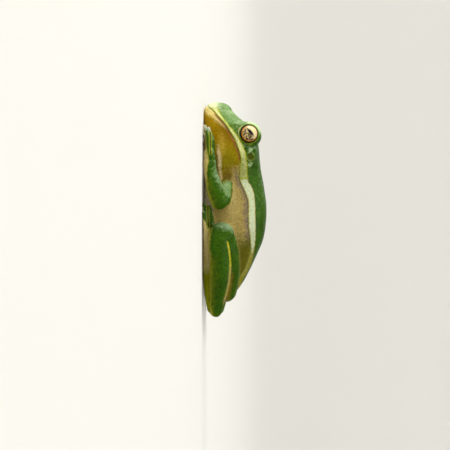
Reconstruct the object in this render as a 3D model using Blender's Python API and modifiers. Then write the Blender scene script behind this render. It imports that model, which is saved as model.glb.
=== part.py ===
# A life-size model of a green tree frog at rest, its limbs folded against its body.
#
# +X is the frog's left, -Y is the way it faces, +Z is up, and it rests on z = 0.
# The origin is the middle of its footprint. The tables below are in millimetres:
# side is the distance from the middle plane, back the distance behind the snout tip,
# and up the height over the floor.

import math

import bmesh
import bpy
import numpy as np
from mathutils import Matrix, Vector

# Driving sizes, in millimetres
SNOUT_TO_VENT = 50.0
EYEBALL_RADIUS = 2.6
LID_THICKNESS = 0.35
GAP = 0.3

# Every length in the tables is for a frog of this length, and scales with SNOUT_TO_VENT.
TABLE_LENGTH = 50.0
MM = 0.001 * SNOUT_TO_VENT / TABLE_LENGTH

# Head and body in one, before they are parted: back, half width, height of the top,
# height of the widest level, height of the underside. The underside dips below the
# floor, which later cuts it flat.
TRUNK = [
    (1.9, 3.7, 6.9, 3.5, 0.1),
    (3.4, 4.7, 8.3, 4.2, -0.3),
    (4.7, 5.4, 9.6, 5.1, -0.4),
    (6.2, 6.0, 11.5, 6.1, -0.4),
    (8.2, 6.5, 12.9, 7.3, -0.4),
    (10.2, 7.0, 13.7, 8.3, -0.4),
    (12.4, 7.7, 14.0, 9.0, -0.4),
    (15.0, 8.0, 14.2, 9.2, -0.3),
    (17.5, 7.8, 14.5, 8.6, -0.1),
    (20.0, 7.8, 15.0, 7.6, -0.1),
    (23.0, 8.2, 15.5, 6.6, -0.3),
    (27.0, 8.7, 15.9, 5.9, -0.4),
    (31.0, 8.9, 15.7, 5.6, -0.4),
    (35.0, 8.4, 15.0, 5.5, -0.4),
    (39.0, 7.2, 13.3, 5.5, -0.4),
    (43.0, 5.4, 11.4, 5.4, -0.3),
    (46.5, 3.9, 9.4, 5.1, 0.3),
    (48.4, 2.8, 7.9, 4.9, 1.7),
]
SNOUT_CAP = 1.9
VENT_CAP = 1.6
BACK_ROUNDNESS = 2.2
CROWN_ROUNDNESS = 2.9
BELLY_ROUNDNESS = 2.6

# The line of the closed mouth, seen from the side: back, up
MOUTH_LINE = [
    (-3.0, 0.7),
    (1.2, 1.0),
    (2.3, 2.2),
    (3.8, 3.5),
    (5.8, 5.3),
    (7.8, 6.6),
    (10.4, 8.0),
    (12.4, 8.8),
    (14.4, 9.3),
]
MOUTH_SLOPE = math.radians(35)
NECK_BACK = 17.2

# The left eye, nostril and eardrum: side, back and up of the middle, and the way it faces
EYE_MIDDLE = (5.3, 8.3, 11.4)
EYE_GAZE = (0.99, -0.05, 0.14)
LID_OPENING = 2.35
LID_FLARE = 3.55
LID_RIM_DEPTH = 1.2
LID_REACH = 4.0
NOSTRIL_MOUND = (1.8, 2.1, 6.45)
NOSTRIL_PIT = (2.15, 1.8, 6.8)
EARDRUM = (6.8, 14.2, 11.7)
EARDRUM_FACING = (0.75, -0.04, 0.66)
EARDRUM_RADIUS = 1.25
EARDRUM_RIM = 0.22

# Soft ridges of the left side of the head: side, back, up, half width, half height
CANTHUS = [
    (2.2, 2.4, 6.1, 0.8, 0.6),
    (3.3, 4.2, 8.1, 0.9, 0.7),
    (4.2, 5.8, 9.9, 1.0, 0.8),
]
EAR_FOLD = [
    (5.6, 11.6, 12.6, 1.0, 0.8),
    (6.1, 13.8, 12.7, 1.0, 0.8),
    (6.7, 15.8, 11.7, 1.0, 0.8),
    (7.2, 18.0, 9.8, 1.0, 0.8),
]

# Limb pieces: side, back, up, half width, half height at each station of the left limb
UPPER_ARM = [
    (5.2, 19.6, 6.2, 1.5, 1.5),
    (7.0, 21.2, 5.9, 1.7, 1.6),
    (9.2, 23.2, 5.5, 1.9, 1.75),
    (10.9, 24.9, 5.2, 1.9, 2.0),
]
FOREARM = [
    (11.3, 25.4, 4.4, 1.8, 2.2),
    (11.2, 22.7, 3.35, 1.95, 2.3),
    (10.8, 20.2, 2.6, 1.8, 1.9),
    (10.2, 18.0, 2.0, 1.5, 1.7),
    (9.7, 15.6, 1.75, 1.4, 1.65),
    (9.5, 14.2, 1.7, 1.35, 1.6),
]
WRIST_BACK = 15.2
THIGH = [
    (4.3, 48.2, 5.5, 2.3, 2.7),
    (5.3, 43.9, 5.9, 2.9, 3.4),
    (7.0, 40.0, 5.9, 3.1, 3.35),
    (8.8, 36.8, 5.6, 2.9, 3.2),
    (10.4, 33.8, 5.6, 2.4, 2.6),
]
SHANK = [
    (11.2, 33.4, 4.9, 2.4, 3.15),
    (11.9, 36.0, 4.1, 2.3, 2.7),
    (11.8, 39.0, 4.4, 2.3, 2.65),
    (11.2, 43.0, 4.4, 2.0, 2.6),
    (10.5, 47.0, 4.1, 1.7, 2.25),
    (9.9, 50.4, 3.65, 1.45, 1.85),
    (9.6, 52.8, 3.3, 1.3, 1.5),
]
TARSUS = [
    (9.3, 52.4, 2.2, 1.0, 1.0),
    (9.0, 48.8, 1.6, 1.0, 1.1),
    (8.8, 45.0, 1.3, 1.05, 1.15),
    (8.8, 41.0, 1.0, 1.15, 1.1),
    (8.9, 38.5, 0.9, 1.25, 1.0),
]
ANKLE_BACK = 39.5

# How each limb piece is meshed: its stations, the lengths of its rounded ends, the
# points round it and the rings along it
LIMBS = {
    "upper_arm": (UPPER_ARM, (1.2, 1.6), 12, 6),
    "forearm": (FOREARM, (1.9, 0.5), 14, 9),
    "thigh": (THIGH, (2.4, 2.0), 14, 8),
    "shank": (SHANK, (3.0, 1.4), 16, 12),
    "tarsus": (TARSUS, (0.9, 0.9), 10, 8),
}

# Fingers and toes of the left side, inner to outer: middle line as side, back, up
PALM = [
    (9.5, 15.6, 1.75, 1.4, 1.6),
    (9.4, 14.2, 1.75, 1.5, 1.5),
    (9.3, 12.9, 1.6, 1.5, 1.4),
]
FINGERS = [
    [(8.5, 13.8, 0.9), (7.5, 12.2, 0.9), (6.7, 10.7, 0.4)],
    [(8.8, 13.2, 1.0), (8.0, 10.8, 1.0), (7.3, 8.8, 0.4)],
    [(9.2, 13.4, 2.4), (9.0, 10.8, 2.6), (8.7, 8.9, 2.2), (8.1, 7.3, 1.5)],
    [(10.0, 13.2, 1.3), (10.2, 10.4, 1.4), (9.9, 8.4, 1.1), (9.5, 6.8, 0.6)],
]
FINGER_RADIUS = 0.48
FINGER_DISC = 0.85
SOLE = [
    (8.9, 39.8, 0.95, 1.2, 1.0),
    (9.0, 37.5, 0.8, 1.5, 0.9),
    (9.2, 35.0, 0.8, 1.7, 0.75),
]
TOES = [
    [(8.2, 36.4, 0.6), (7.4, 34.4, 0.6), (6.9, 32.4, 0.35)],
    [(8.5, 35.6, 0.8), (8.0, 32.8, 0.9), (7.9, 29.8, 0.4)],
    [(8.9, 35.0, 1.1), (9.2, 31.4, 2.1), (9.4, 28.6, 2.15), (9.3, 26.8, 1.8)],
    [(9.5, 34.8, 0.8), (10.1, 30.4, 0.9), (10.3, 28.0, 0.75), (10.3, 26.2, 0.4)],
    [(10.2, 35.2, 0.7), (11.3, 31.6, 0.7), (12.0, 28.2, 0.35)],
]
TOE_RADIUS = 0.45
TOE_DISC = 0.75
WEB_REACH = 0.62
WEB_THICKNESS = 0.5

# Sizes of the work itself, in millimetres
SKIN_VOXEL = 0.4
DIGIT_VOXEL = 0.22
POCKET_TRIANGLES = 500
ROOM = 60.0


def at(side, back, up):
    return Vector((side * MM, back * MM, up * MM))


def clear_scene():
    for obj in list(bpy.data.objects):
        bpy.data.objects.remove(obj, do_unlink=True)


def material(name, colour, roughness):
    made = bpy.data.materials.new(name)
    made.use_nodes = True
    shader = made.node_tree.nodes["Principled BSDF"]
    shader.inputs["Base Color"].default_value = (*colour, 1.0)
    shader.inputs["Roughness"].default_value = roughness
    shader.inputs["Metallic"].default_value = 0.0
    return made


def object_from(bm, name):
    if bm.calc_volume(signed=True) < 0:
        bmesh.ops.reverse_faces(bm, faces=bm.faces)
    mesh = bpy.data.meshes.new(name)
    bm.to_mesh(mesh)
    bm.free()
    obj = bpy.data.objects.new(name, mesh)
    bpy.context.scene.collection.objects.link(obj)
    return obj


def remove(*objects):
    for obj in objects:
        bpy.data.objects.remove(obj, do_unlink=True)


def copy_of(obj, name):
    made = obj.copy()
    made.data = obj.data.copy()
    made.name = name
    bpy.context.scene.collection.objects.link(made)
    return made


def apply_modifiers(obj):
    graph = bpy.context.evaluated_depsgraph_get()
    made = bpy.data.meshes.new_from_object(obj.evaluated_get(graph))
    obj.modifiers.clear()
    obj.data = made
    return obj


def through(stations, count):
    """A smooth curve through the stations, read at evenly spaced places along it."""
    rows = np.array(stations, float)
    steps = np.linalg.norm(np.diff(rows[:, :3], axis=0), axis=1)
    place = np.concatenate([[0.0], np.cumsum(steps)])
    slope = np.gradient(rows, place, axis=0)
    wanted = np.linspace(0.0, place[-1], count)
    left = np.clip(np.searchsorted(place, wanted, side="right") - 1, 0, len(place) - 2)
    span = (place[left + 1] - place[left])[:, None]
    s = ((wanted - place[left]) / span[:, 0])[:, None]
    return (
        (2 * s**3 - 3 * s**2 + 1) * rows[left]
        + (s**3 - 2 * s**2 + s) * span * slope[left]
        + (3 * s**2 - 2 * s**3) * rows[left + 1]
        + (s**3 - s**2) * span * slope[left + 1]
    )


def section(angle, half_width, rise, drop, top_power, bottom_power):
    """A point of a rounded section, lateral and upward from its middle."""
    c, s = math.cos(angle), math.sin(angle)
    power = top_power if s >= 0 else bottom_power
    lateral = math.copysign(abs(c) ** (2 / power), c) * half_width
    upward = math.copysign(abs(s) ** (2 / power), s) * (rise if s >= 0 else drop)
    return lateral, upward


def round_section(back):
    return 2.0, 2.0


def trunk_section(back):
    """How square the trunk is over and under its widest level: the crown is flatter."""
    crown = 1.0 - min(1.0, max(0.0, (back - 10.0) / 8.0))
    return BACK_ROUNDNESS + (CROWN_ROUNDNESS - BACK_ROUNDNESS) * crown, BELLY_ROUNDNESS


def soft_form(name, stations, sides, rings, caps, upright=False, powers=round_section, grow=0.0):
    """A closed soft form along a bent middle line, with rounded ends.

    A station is side, back, up, half width, rise and drop from the middle line.
    An upright form keeps its sections square to the length of the body.
    """
    rows = through(stations, rings)
    middle = rows[:, :3]
    run = np.gradient(middle, axis=0)
    if upright:
        run = np.tile([0.0, 1.0, 0.0], (rings, 1))
    run /= np.linalg.norm(run, axis=1)[:, None]

    end_rings = 4
    sections = []
    for k in range(1, end_rings + 1):
        turn = math.pi / 2 * k / (end_rings + 1)
        offset = -(caps[0] + grow) * math.cos(turn)
        sections.append((0, offset, math.sin(turn)))
    sections += [(k, 0.0, 1.0) for k in range(rings)]
    for k in range(end_rings, 0, -1):
        turn = math.pi / 2 * k / (end_rings + 1)
        offset = (caps[1] + grow) * math.cos(turn)
        sections.append((rings - 1, offset, math.sin(turn)))

    bm = bmesh.new()
    bands = len(sections) + 1
    bmesh.ops.create_uvsphere(bm, u_segments=sides, v_segments=bands, radius=1.0)
    for vert in bm.verts:
        ring = round(math.acos(max(-1.0, min(1.0, vert.co.z))) / math.pi * bands)
        if ring == 0:
            place = middle[0] - run[0] * (caps[0] + grow)
        elif ring == bands:
            place = middle[-1] + run[-1] * (caps[1] + grow)
        else:
            row, offset, scale = sections[ring - 1]
            lateral_way = np.cross(run[row], (0.0, 0.0, 1.0))
            lateral_way /= np.linalg.norm(lateral_way)
            upward_way = np.cross(lateral_way, run[row])
            half_width, rise, drop = rows[row, 3:6] + grow
            turn = math.atan2(vert.co.y, vert.co.x)
            lateral, upward = section(turn, half_width, rise, drop, *powers(middle[row][1]))
            place = (
                middle[row]
                + run[row] * offset
                + lateral_way * lateral * scale
                + upward_way * upward * scale
            )
        vert.co = at(*place)
    return object_from(bm, name)


def limb_form(name, stations, sides=14, rings=9, caps=(1.6, 1.6), grow=0.0):
    rows = [(*s[:4], s[4], s[4]) for s in stations]
    return soft_form(name, rows, sides, rings, caps, grow=grow)


def limb(name, grow=0.0):
    stations, caps, sides, rings = LIMBS[name]
    return limb_form(name, stations, sides, rings, caps, grow)


def ball(name, middle, radii, segments=20, rings=12):
    bm = bmesh.new()
    bmesh.ops.create_uvsphere(bm, u_segments=segments, v_segments=rings, radius=1.0)
    bmesh.ops.scale(bm, vec=Vector(radii) * MM, verts=bm.verts)
    bmesh.ops.translate(bm, vec=at(*middle), verts=bm.verts)
    return object_from(bm, name)


def prism(name, outline):
    """A block across the whole width, from its outline seen from the side."""
    bm = bmesh.new()
    face = bm.faces.new([bm.verts.new(at(-ROOM, back, up)) for back, up in outline])
    grown = bmesh.ops.extrude_face_region(bm, geom=[face])
    moved = [e for e in grown["geom"] if isinstance(e, bmesh.types.BMVert)]
    bmesh.ops.translate(bm, vec=at(2 * ROOM, 0, 0), verts=moved)
    bmesh.ops.recalc_face_normals(bm, faces=bm.faces)
    return object_from(bm, name)


def combine(target, others, operation, solver="EXACT"):
    """Cuts, joins or crosses target with the others, which are then removed."""
    for other in others:
        modifier = target.modifiers.new(operation.lower(), "BOOLEAN")
        modifier.operation = operation
        modifier.solver = solver
        modifier.object = other
        apply_modifiers(target)
        remove(other)
        keep_largest(target)
    return target


def keep_largest(obj):
    """Drops every closed surface of a mesh but the one with the most faces."""
    bm = bmesh.new()
    bm.from_mesh(obj.data)
    bmesh.ops.dissolve_degenerate(bm, dist=1e-6, edges=bm.edges)
    left = set(bm.verts)
    islands = []
    while left:
        front = [left.pop()]
        island = set(front)
        while front:
            for edge in front.pop().link_edges:
                for vert in edge.verts:
                    if vert in left:
                        left.remove(vert)
                        island.add(vert)
                        front.append(vert)
        islands.append(island)
    islands.sort(key=len)
    for island in islands[:-1]:
        bmesh.ops.delete(bm, geom=list(island), context="VERTS")
    bmesh.ops.triangulate(bm, faces=bm.faces)
    bm.to_mesh(obj.data)
    bm.free()
    return obj


def melt(target, others, voxel, smoothing, triangles):
    """Joins closed forms that overlap into one skin with soft creases."""
    bm = bmesh.new()
    for obj in (target, *others):
        bm.from_mesh(obj.data)
    bm.to_mesh(target.data)
    bm.free()
    remove(*others)
    remesh = target.modifiers.new("remesh", "REMESH")
    remesh.mode = "VOXEL"
    remesh.voxel_size = voxel * MM
    smooth = target.modifiers.new("smooth", "SMOOTH")
    smooth.factor = 0.5
    smooth.iterations = smoothing
    apply_modifiers(target)
    keep_largest(target)
    return thin_to(target, triangles)


def thin_to(obj, triangles):
    decimate = obj.modifiers.new("decimate", "DECIMATE")
    decimate.ratio = min(1.0, triangles / len(obj.data.polygons))
    return apply_modifiers(obj)


def mirrored(obj, name):
    made = copy_of(obj, name)
    made.data.transform(Matrix.Diagonal((-1, 1, 1, 1)))
    made.data.flip_normals()
    return made


def both_sides(obj, name):
    """The left piece, and its mirror image on the right."""
    obj.name = f"{name}_left"
    return obj, mirrored(obj, f"{name}_right")


def side_pair(make):
    """Two helpers from one function, for the left and for the right."""
    left = make()
    return [left, mirrored(left, left.name + "_mirrored")]


def floor_block():
    return prism("floor", [(-ROOM, -ROOM), (2 * ROOM, -ROOM), (2 * ROOM, 0), (-ROOM, 0)])


def frame_along(way):
    """A rotation that turns +Z to the given way."""
    return Vector((0, 0, 1)).rotation_difference(Vector(way)).to_matrix().to_4x4()


def eye_socket():
    """The hollow for the eyeball, with a cone along the gaze that opens the lids."""
    socket = ball("socket", EYE_MIDDLE, [EYEBALL_RADIUS + GAP] * 3, 18, 10)
    bm = bmesh.new()
    bmesh.ops.create_cone(
        bm,
        cap_ends=True,
        segments=18,
        radius1=LID_OPENING * MM,
        radius2=LID_FLARE * MM,
        depth=LID_REACH * MM,
        matrix=Matrix.Translation((0, 0, (LID_RIM_DEPTH + LID_REACH / 2) * MM)),
    )
    opening = object_from(bm, "lid_opening")
    opening.data.transform(Matrix.Translation(at(*EYE_MIDDLE)) @ frame_along(EYE_GAZE))
    return combine(socket, [opening], "UNION")


def eardrum_ring():
    """The low rim round the eardrum."""
    bm = bmesh.new()
    bmesh.ops.create_circle(bm, radius=EARDRUM_RIM * MM, segments=5)
    bmesh.ops.rotate(bm, verts=bm.verts, matrix=Matrix.Rotation(math.pi / 2, 3, "X"))
    bmesh.ops.translate(bm, verts=bm.verts, vec=(EARDRUM_RADIUS * MM, 0, 0))
    bmesh.ops.spin(
        bm,
        geom=bm.verts[:] + bm.edges[:],
        cent=(0, 0, 0),
        axis=(0, 0, 1),
        angle=2 * math.pi,
        steps=14,
        use_merge=True,
    )
    bmesh.ops.recalc_face_normals(bm, faces=bm.faces)
    obj = object_from(bm, "eardrum_ring")
    obj.data.transform(Matrix.Translation(at(*EARDRUM)) @ frame_along(EARDRUM_FACING))
    return obj


def trunk():
    """Head and body in one: the main form, lids, nostril mounds and the fold over the ear."""
    rows = [(0.0, back, wide, half, top - wide, wide - low) for back, half, top, wide, low in TRUNK]
    body = soft_form(
        "trunk",
        rows,
        sides=40,
        rings=60,
        caps=(SNOUT_CAP, VENT_CAP),
        upright=True,
        powers=trunk_section,
    )
    lid = EYEBALL_RADIUS + GAP + LID_THICKNESS
    extras = side_pair(lambda: ball("lid", EYE_MIDDLE, [lid] * 3, 32, 20))
    extras += side_pair(lambda: ball("nostril_mound", NOSTRIL_MOUND, (0.7, 0.9, 0.6)))
    for ridge in (CANTHUS, EAR_FOLD):
        extras += side_pair(lambda: limb_form("ridge", ridge, caps=(0.6, 0.6)))
    return melt(body, extras, SKIN_VOXEL, smoothing=6, triangles=24000)


def line_shifted(up):
    return [(back, height + up) for back, height in MOUTH_LINE]


def make_head(whole):
    """The skull part over the mouth line, with sockets, lids, nostrils and eardrums."""
    head = thin_to(copy_of(whole, "head"), 4800)
    half_gap = GAP / 2 / math.cos(MOUTH_SLOPE)
    corner = (NECK_BACK - GAP / 2, MOUTH_LINE[-1][1] + half_gap)
    region = line_shifted(half_gap) + [corner, (NECK_BACK - GAP / 2, ROOM), (-3.0, ROOM)]
    combine(head, [prism("head_region", region)], "INTERSECT")
    combine(head, side_pair(eardrum_ring), "UNION")
    combine(head, side_pair(eye_socket), "DIFFERENCE")
    pits = side_pair(lambda: ball("pit", NOSTRIL_PIT, (0.3, 0.45, 0.3), 8, 6))
    return combine(head, pits, "DIFFERENCE")


def make_jaw(whole):
    """Lower jaw and throat, under the mouth line."""
    jaw = thin_to(copy_of(whole, "lower_jaw"), 4200)
    half_gap = GAP / 2 / math.cos(MOUTH_SLOPE)
    corner = (NECK_BACK - GAP / 2, MOUTH_LINE[-1][1] - half_gap)
    region = line_shifted(-half_gap) + [corner, (NECK_BACK - GAP / 2, -ROOM), (-3.0, -ROOM)]
    combine(jaw, [prism("jaw_region", region)], "INTERSECT")
    return combine(jaw, [floor_block()], "DIFFERENCE")


def make_torso(whole):
    """Body behind the neck, with a pocket for each limb root that lies against it."""
    torso = thin_to(copy_of(whole, "torso"), 2600)
    combine(torso, [block_between(NECK_BACK + GAP / 2, 2 * ROOM)], "INTERSECT")
    pockets = []
    for name in ("upper_arm", "thigh", "shank"):
        pockets += side_pair(lambda: limb(name, GAP))
    pockets += side_pair(lambda: foot_form(GAP, POCKET_TRIANGLES))
    combine(torso, pockets, "DIFFERENCE")
    return combine(torso, [floor_block()], "DIFFERENCE")


def block_between(front, rear):
    """Everything between two planes square to the length of the body."""
    return prism("block", [(front, -ROOM), (rear, -ROOM), (rear, ROOM), (front, ROOM)])


def make_arm():
    forearm = limb("forearm")
    upper = combine(limb("upper_arm"), [limb("forearm", GAP)], "DIFFERENCE")
    combine(forearm, [block_between(-ROOM, WRIST_BACK), floor_block()], "DIFFERENCE")
    return upper, forearm


def make_leg():
    thigh = combine(limb("thigh"), [limb("shank", GAP)], "DIFFERENCE")
    tarsus = combine(limb("tarsus"), [limb("shank", GAP)], "DIFFERENCE")
    combine(tarsus, [block_between(-ROOM, ANKLE_BACK), floor_block()], "DIFFERENCE")
    return thigh, limb("shank"), tarsus


def digit(name, line, radius, disc, grow=0.0):
    """A finger or toe with low knuckles and a round sticky disc at its tip."""
    rows = through([(*p, 0.0) for p in line], 9)
    stations = []
    for k, (side, back, up, _) in enumerate(rows):
        along = k / (len(rows) - 1)
        knuckle = 0.1 * math.sin(along * math.pi * 3) ** 2
        r = radius * (1.25 - 0.4 * along) + knuckle * radius
        stations.append((side, back, up, r, r))
    shaft = limb_form(name, stations, sides=10, rings=14, caps=(radius, radius), grow=grow)
    pad_size = (disc + grow, disc + grow, disc * 0.55 + grow)
    pad = ball(name + "_disc", line[-1], pad_size, 14, 8)
    return [shaft, pad]


def web_between(inner, outer):
    """A thin membrane between two toes, scalloped at its free edge."""
    steps = 7
    first = through([(*p, 0.0) for p in inner], 24)[:, :3]
    second = through([(*p, 0.0) for p in outer], 24)[:, :3]
    bm = bmesh.new()
    rows = []
    for k in range(steps + 1):
        row = []
        for j in range(4):
            across = j / 3
            reach = WEB_REACH * (1 - 0.35 * math.sin(math.pi * across)) * k / steps
            spot = reach * 23
            low = int(spot)
            part = spot - low
            a = first[low] * (1 - part) + first[min(low + 1, 23)] * part
            b = second[low] * (1 - part) + second[min(low + 1, 23)] * part
            row.append(bm.verts.new(at(*(a * (1 - across) + b * across))))
        rows.append(row)
    for near, far in zip(rows, rows[1:]):
        for j in range(3):
            bm.faces.new((near[j], near[j + 1], far[j + 1], far[j]))
    obj = object_from(bm, "web")
    solid = obj.modifiers.new("thickness", "SOLIDIFY")
    solid.thickness = WEB_THICKNESS * MM
    solid.offset = 0.0
    return apply_modifiers(obj)


def make_hand():
    palm = limb_form("hand", PALM, sides=14, rings=6, caps=(0.6, 0.9))
    digits = []
    for line in FINGERS:
        digits += digit("finger", line, FINGER_RADIUS, FINGER_DISC)
    hand = melt(palm, digits, DIGIT_VOXEL, smoothing=2, triangles=760)
    wrist = block_between(WRIST_BACK - GAP, 2 * ROOM)
    return combine(hand, [wrist, floor_block()], "DIFFERENCE")


def foot_form(grow, triangles):
    sole = limb_form("foot", SOLE, sides=14, rings=8, caps=(0.6, 0.9), grow=grow)
    extras = []
    for line in TOES:
        extras += digit("toe", line, TOE_RADIUS, TOE_DISC, grow)
    extras += [web_between(a, b) for a, b in zip(TOES, TOES[1:])]
    return melt(sole, extras, DIGIT_VOXEL, smoothing=2, triangles=triangles)


def make_foot():
    foot = foot_form(0.0, 1000)
    ankle = block_between(ANKLE_BACK - GAP, 2 * ROOM)
    return combine(foot, [ankle, floor_block()], "DIFFERENCE")


def finish(nodes):
    """Puts the origin at the middle of the footprint and gives each node its look."""
    backs = [v.co.y for obj in nodes for v in obj.data.vertices]
    shift = Matrix.Translation((0, -(min(backs) + max(backs)) / 2, 0))
    green = material("green_skin", (0.09, 0.22, 0.01), 0.4)
    pale = material("throat_skin", (0.42, 0.3, 0.03), 0.45)
    iris = material("iris", (0.6, 0.4, 0.2), 0.1)
    collection = bpy.data.collections.new("green_tree_frog")
    bpy.context.scene.collection.children.link(collection)
    for obj in nodes:
        obj.data.transform(shift)
        look = green
        if obj.name.startswith("eye"):
            look = iris
        elif obj.name == "lower_jaw":
            look = pale
        obj.data.materials.clear()
        obj.data.materials.append(look)
        obj.data.shade_smooth()
        bpy.context.scene.collection.objects.unlink(obj)
        collection.objects.link(obj)


def main():
    clear_scene()
    whole = trunk()
    nodes = [make_head(whole), make_jaw(whole), make_torso(whole)]
    remove(whole)
    eye = ball("eye", EYE_MIDDLE, [EYEBALL_RADIUS] * 3, 18, 10)
    nodes += both_sides(eye, "eye")
    for piece in (*make_arm(), make_hand(), *make_leg(), make_foot()):
        nodes += both_sides(piece, piece.name)
    finish(nodes)


main()
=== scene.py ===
import math

import bmesh
import bpy
import numpy as np
from mathutils import Matrix, Vector
from mathutils.bvhtree import BVHTree


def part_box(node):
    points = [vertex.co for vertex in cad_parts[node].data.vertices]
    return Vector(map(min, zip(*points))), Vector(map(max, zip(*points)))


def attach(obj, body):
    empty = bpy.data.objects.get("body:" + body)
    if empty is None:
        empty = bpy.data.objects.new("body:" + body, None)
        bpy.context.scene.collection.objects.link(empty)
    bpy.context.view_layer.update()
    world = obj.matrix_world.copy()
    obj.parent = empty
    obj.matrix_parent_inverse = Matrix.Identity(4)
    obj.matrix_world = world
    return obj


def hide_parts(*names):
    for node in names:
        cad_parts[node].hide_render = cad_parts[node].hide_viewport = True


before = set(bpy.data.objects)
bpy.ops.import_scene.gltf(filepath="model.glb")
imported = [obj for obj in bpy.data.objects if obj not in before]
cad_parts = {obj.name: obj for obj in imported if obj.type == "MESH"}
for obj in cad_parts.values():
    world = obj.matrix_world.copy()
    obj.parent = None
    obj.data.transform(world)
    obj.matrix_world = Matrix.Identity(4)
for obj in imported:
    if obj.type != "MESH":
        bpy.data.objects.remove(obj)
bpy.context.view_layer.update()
print("frame loaded:", len(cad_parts), "nodes")

mm = 0.001

# Places are side, back and up in millimetres: side from the middle plane, positive to the
# frog's left, back from the snout tip, up from the floor. The left eye sets them in the frame.
eyePlace = {
    "back": 8.3,
    "lidGaze": (0.98, -0.02, 0.13),  # the way the lids open
    "irisGaze": (0.97, -0.04, 0.15),  # the way the iris looks
    "pupilPitch": 40,
}
eyeLow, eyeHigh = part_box("eye_left")
eyeMiddle = (eyeLow + eyeHigh) / 2
eyeRadius = (eyeHigh.z - eyeLow.z) / 2 / mm
snoutY = eyeMiddle.y - eyePlace["back"] * mm
snoutTip = np.array([0.0, snoutY, 0.0])


def at(side, back, up):
    return Vector((side * mm, snoutY + back * mm, up * mm))


def placesOf(mesh):
    places = np.empty(len(mesh.vertices) * 3)
    mesh.vertices.foreach_get("co", places)
    places = places.reshape(-1, 3)
    return (places - snoutTip) / mm


def setPlaces(mesh, places):
    mesh.vertices.foreach_set("co", (places * mm + snoutTip).ravel())
    mesh.update()


def normalsOf(mesh):
    normals = np.empty(len(mesh.vertices) * 3)
    mesh.vertex_normals.foreach_get("vector", normals)
    return normals.reshape(-1, 3)


def curveAt(points, where):
    # a smooth line through (back, value) points, level beyond its ends
    x, y = np.array(points, float).T
    slope = np.gradient(y, x)
    where = np.clip(where, x[0], x[-1])
    k = np.clip(np.searchsorted(x, where, side="right") - 1, 0, len(x) - 2)
    gap = x[k + 1] - x[k]
    s = (where - x[k]) / gap
    return (
        (2 * s**3 - 3 * s**2 + 1) * y[k]
        + (s**3 - 2 * s**2 + s) * gap * slope[k]
        + (3 * s**2 - 2 * s**3) * y[k + 1]
        + (s**3 - s**2) * gap * slope[k + 1]
    )


def ramp(value, low, high):
    # 0 below low, 1 above high, smooth between
    s = np.clip((value - low) / (high - low), 0.0, 1.0)
    return s * s * (3 - 2 * s)


def hump(value, width):
    return np.exp(-((value / width) ** 2))


def smooth(bm, verts, times, strength=0.5):
    for _ in range(times):
        bmesh.ops.smooth_vert(
            bm, verts=verts, factor=strength, use_axis_x=True, use_axis_y=True, use_axis_z=True
        )


def pieceFrom(bm, name):
    mesh = bpy.data.meshes.new(name)
    bm.to_mesh(mesh)
    bm.free()
    piece = bpy.data.objects.new(name, mesh)
    bpy.context.scene.collection.objects.link(piece)
    return piece


def applyModifiers(piece):
    graph = bpy.context.evaluated_depsgraph_get()
    made = bpy.data.meshes.new_from_object(piece.evaluated_get(graph))
    piece.modifiers.clear()
    piece.data = made


def linear(hexColour):
    channels = [int(hexColour[i : i + 2], 16) / 255 for i in (1, 3, 5)]
    return tuple(
        c / 12.92 if c <= 0.04045 else ((c + 0.055) / 1.055) ** 2.4 for c in channels
    ) + (1.0,)


def addNode(tree, kind, inputs=None, **settings):
    # adds a node, with its settings, and sets or links its inputs by name or number
    made = tree.nodes.new("ShaderNode" + kind)
    for name, value in settings.items():
        setattr(made, name, value)
    for name, value in (inputs or {}).items():
        if isinstance(value, bpy.types.NodeSocket):
            tree.links.new(value, made.inputs[name])
        else:
            made.inputs[name].default_value = value
    return made


def maths(tree, operation, *values):
    return addNode(tree, "Math", dict(enumerate(values)), operation=operation).outputs[0]


def mapped(tree, value, low, high, start=0.0, stop=1.0, kind="LINEAR"):
    inputs = {0: value, 1: low, 2: high, 3: start, 4: stop}
    return addNode(tree, "MapRange", inputs, interpolation_type=kind).outputs[0]


def eased(tree, value, low, high, start=0.0, stop=1.0):
    return mapped(tree, value, low, high, start, stop, "SMOOTHSTEP")


def mixed(tree, factor, first, second):
    return addNode(tree, "Mix", {0: factor, 6: first, 7: second}, data_type="RGBA").outputs[2]


def noise(tree, where, scale, detail, rough=0.5):
    inputs = {"Vector": where, "Scale": scale, "Detail": detail, "Roughness": rough}
    return addNode(tree, "TexNoise", inputs).outputs["Fac"]


def cells(tree, where, scale):
    inputs = {"Vector": where, "Scale": scale}
    return addNode(tree, "TexVoronoi", inputs, feature="F1").outputs["Distance"]


def newMaterial(name):
    made = bpy.data.materials.new(name)
    made.use_nodes = True
    return made, made.node_tree, made.node_tree.nodes["Principled BSDF"]


# The camera looks at the frog's left side and is rolled a quarter turn, so that the head is up

camera = {
    "middle": (0.0, 31.17, 5.33),  # what is in the middle of the picture
    "across": 114.2,  # mm that the picture shows at the frog
    "distance": 600,
    "elevation": 1.8,
    "sensor": 36.0,
}


# The skin: one piece over every flesh node

skin = {
    "spacing": 0.375,  # between the points of the first mesh, mm
    "bridge": 0.17,  # each node swells by this much, which closes the cuts between them
    "eyeBridge": 0.5,  # and the eyeballs by this much, which fills the sockets
    "smoothing": {"trunk": 10, "limb": 4, "digit": 1, "knee": 18},
    "fingersEnd": 15.2,  # mm behind the snout tip, as are all the ends here
    "toesEnd": 39.5,
    "knee": (31.0, 38.5),
    "kneeReach": 1.3,  # how far from thigh and shank the knee's skin lies at most
    "fineEnd": 17.0,  # the mesh is finer on the head, and finer still in these places:
    "fineLids": (50, 88),  # degrees from the gaze
    "fineEye": 4.0,
    "fineMouth": 0.7,
    "fineMouthEnd": 15.5,
    "fineMouthSide": 8.2,
    "fineNostril": 0.9,
    "fineEardrum": 1.6,
}

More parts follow.
